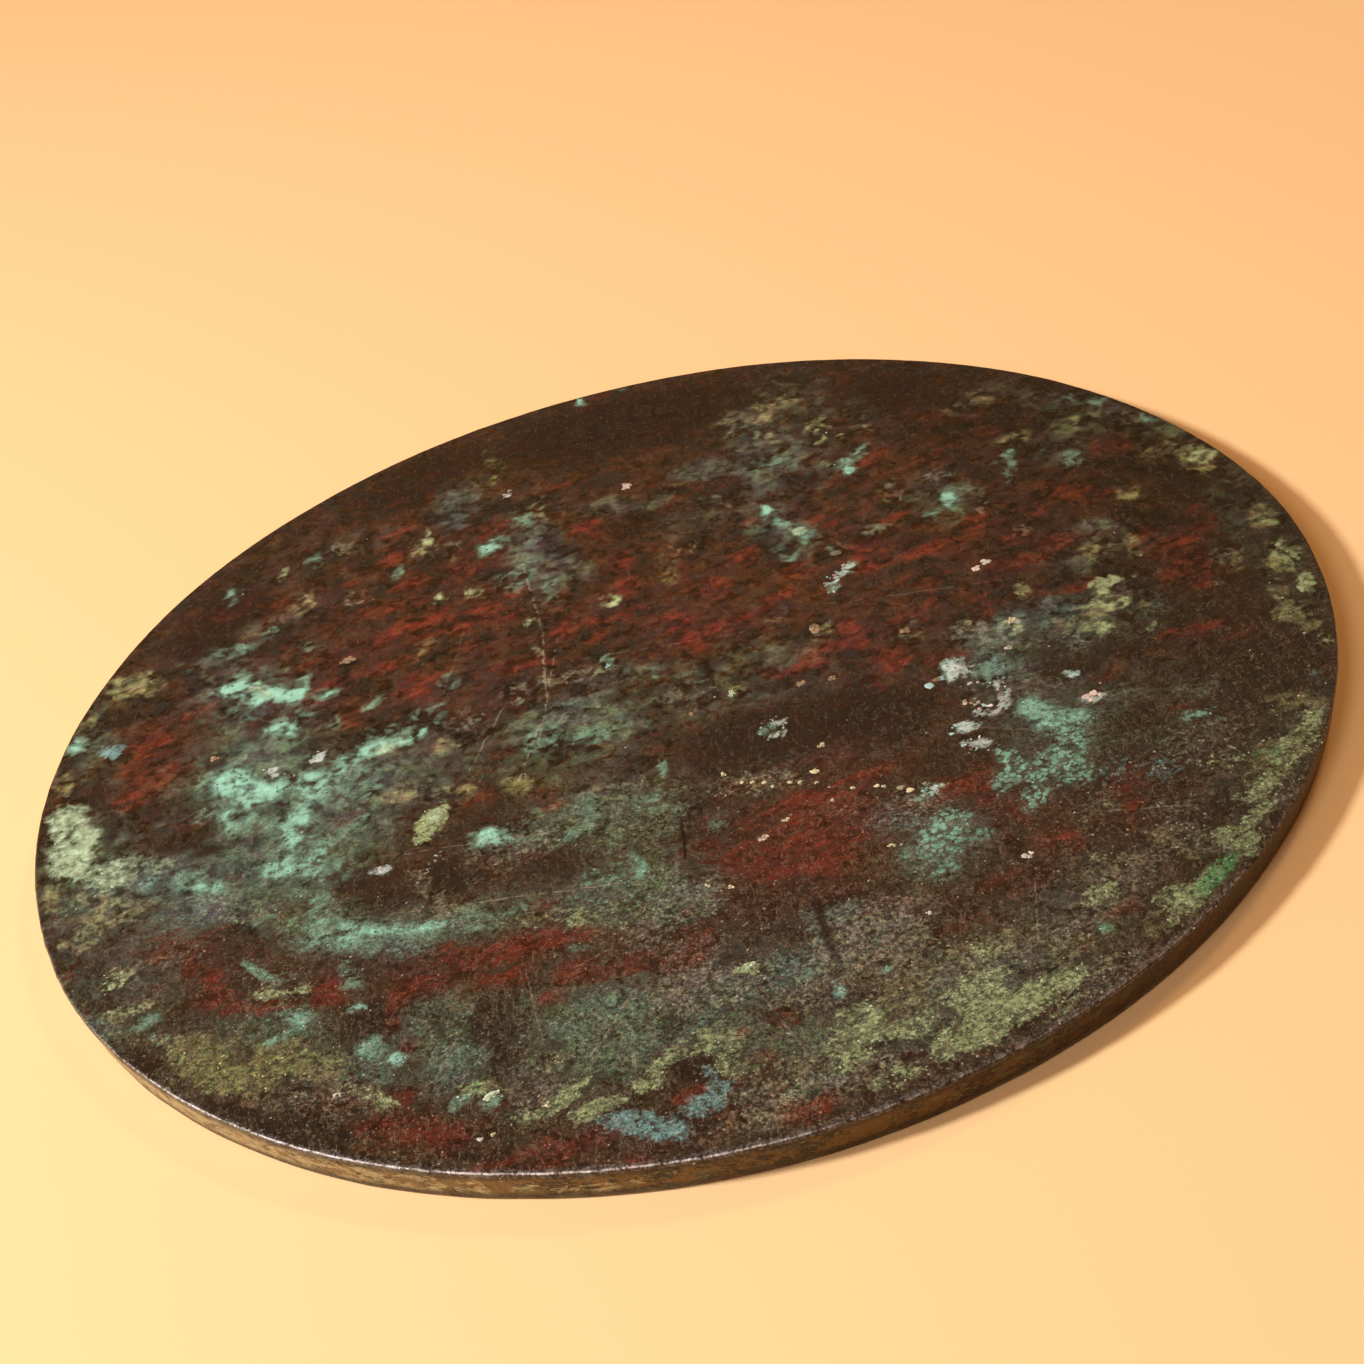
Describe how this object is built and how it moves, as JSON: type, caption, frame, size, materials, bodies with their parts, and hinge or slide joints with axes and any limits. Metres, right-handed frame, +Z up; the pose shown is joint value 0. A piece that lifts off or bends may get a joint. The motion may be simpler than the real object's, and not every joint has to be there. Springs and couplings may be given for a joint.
{
  "type": "bronze mirror",
  "caption": "Round cast bronze mirror lying face up: a thin plate with a thicker rim, a smooth patinated face, and on its plain back a sunk field with a pierced cord knob.",
  "frame": {"origin": "middle of the underside, on the mirror's axis, in the plane of the rim band that it lies on", "axes": "+Z up along the mirror's axis, out of its reflecting face; +X to the right of the picture's view"},
  "size_m": [0.18, 0.18, 0.0052],
  "materials": {
    "patinated_bronze": "dark brown bronze under a thin green, turquoise and red patina, satin"
  },
  "bodies": {
    "root": {"mirror_disc": "patinated_bronze"}
  },
  "joints": []
}
